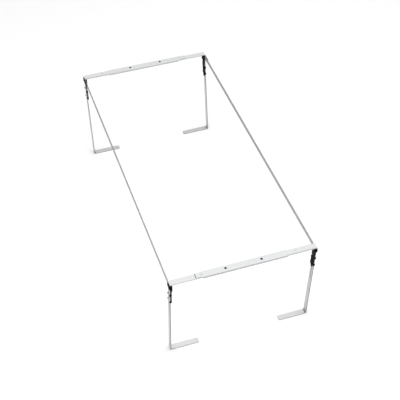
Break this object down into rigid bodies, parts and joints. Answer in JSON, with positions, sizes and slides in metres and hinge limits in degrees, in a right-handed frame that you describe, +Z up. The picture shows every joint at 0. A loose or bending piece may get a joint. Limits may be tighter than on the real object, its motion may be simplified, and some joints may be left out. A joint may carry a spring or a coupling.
{
  "type": "hanging file rack",
  "caption": "Free-standing steel frame that carries hanging folders on two side rails, with telescoping crossbars, moulded corner brackets and legs that slide in and out to set the height.",
  "frame": {"origin": "on the floor below the middle of the frame, at letter width with the legs fully in", "axes": "+X to the right across the folders, +Y towards the back along the side rails, +Z up"},
  "size_m": [0.3142, 0.724, 0.2297],
  "materials": {
    "white_paint": "smooth pale grey powder coat on sheet steel, satin",
    "leg_steel": "light grey coated steel strip, satin",
    "rail_steel": "plain cold-rolled steel strip, lengthwise grain",
    "black_plastic": "black moulded nylon, fine texture with smoother edges",
    "black_steel": "black oxide steel",
    "zinc_steel": "bright zinc plate"
  },
  "bodies": {
    "left_side": {"rail_left": "rail_steel", "crossbar_front_lower": "white_paint", "corner_bracket_front_left": "black_plastic", "crossbar_back_upper": "white_paint", "corner_bracket_back_left": "black_plastic", "clamp_washer_back_left": "zinc_steel", "clamp_nut_back_left": "zinc_steel", "clamp_washer_back_right": "zinc_steel", "clamp_nut_back_right": "zinc_steel"},
    "right_side": {"rail_right": "rail_steel", "crossbar_front_upper": "white_paint", "corner_bracket_front_right": "black_plastic", "crossbar_back_lower": "white_paint", "corner_bracket_back_right": "black_plastic", "clamp_washer_front_left": "zinc_steel", "clamp_nut_front_left": "zinc_steel", "clamp_washer_front_right": "zinc_steel", "clamp_nut_front_right": "zinc_steel"},
    "front_left_leg": {"leg_front_left": "leg_steel"},
    "front_right_leg": {"leg_front_right": "leg_steel"},
    "back_left_leg": {"leg_back_left": "leg_steel"},
    "back_right_leg": {"leg_back_right": "leg_steel"},
    "front_left_screw": {"clamp_screw_front_left": "black_steel"},
    "front_right_screw": {"clamp_screw_front_right": "black_steel"},
    "back_left_screw": {"clamp_screw_back_left": "black_steel"},
    "back_right_screw": {"clamp_screw_back_right": "black_steel"}
  },
  "joints": [
    {"name": "width_slide", "type": "slide", "parent": "left_side", "child": "right_side", "axis": [1, 0, 0], "range_m": [0, 0.0762]},
    {"name": "leg_height_front_left", "type": "slide", "parent": "left_side", "child": "front_left_leg", "axis": [0, 0.0872, -0.9962], "range_m": [0, 0.01905]},
    {"name": "leg_height_front_right", "type": "slide", "parent": "right_side", "child": "front_right_leg", "axis": [0, 0.0872, -0.9962], "range_m": [0, 0.01905]},
    {"name": "leg_height_back_left", "type": "slide", "parent": "left_side", "child": "back_left_leg", "axis": [0, -0.0872, -0.9962], "range_m": [0, 0.01905]},
    {"name": "leg_height_back_right", "type": "slide", "parent": "right_side", "child": "back_right_leg", "axis": [0, -0.0872, -0.9962], "range_m": [0, 0.01905]},
    {"name": "screw_turn_front_left", "type": "hinge", "parent": "right_side", "child": "front_left_screw", "pos_m": [-0.0381, -0.35415, 0.2286], "axis": [0, 0, 1], "range_deg": [0, 360]},
    {"name": "screw_turn_front_right", "type": "hinge", "parent": "right_side", "child": "front_right_screw", "pos_m": [0.0381, -0.35415, 0.2286], "axis": [0, 0, 1], "range_deg": [0, 360]},
    {"name": "screw_turn_back_left", "type": "hinge", "parent": "left_side", "child": "back_left_screw", "pos_m": [-0.0381, 0.35415, 0.2286], "axis": [0, 0, 1], "range_deg": [0, 360]},
    {"name": "screw_turn_back_right", "type": "hinge", "parent": "left_side", "child": "back_right_screw", "pos_m": [0.0381, 0.35415, 0.2286], "axis": [0, 0, 1], "range_deg": [0, 360]}
  ]
}
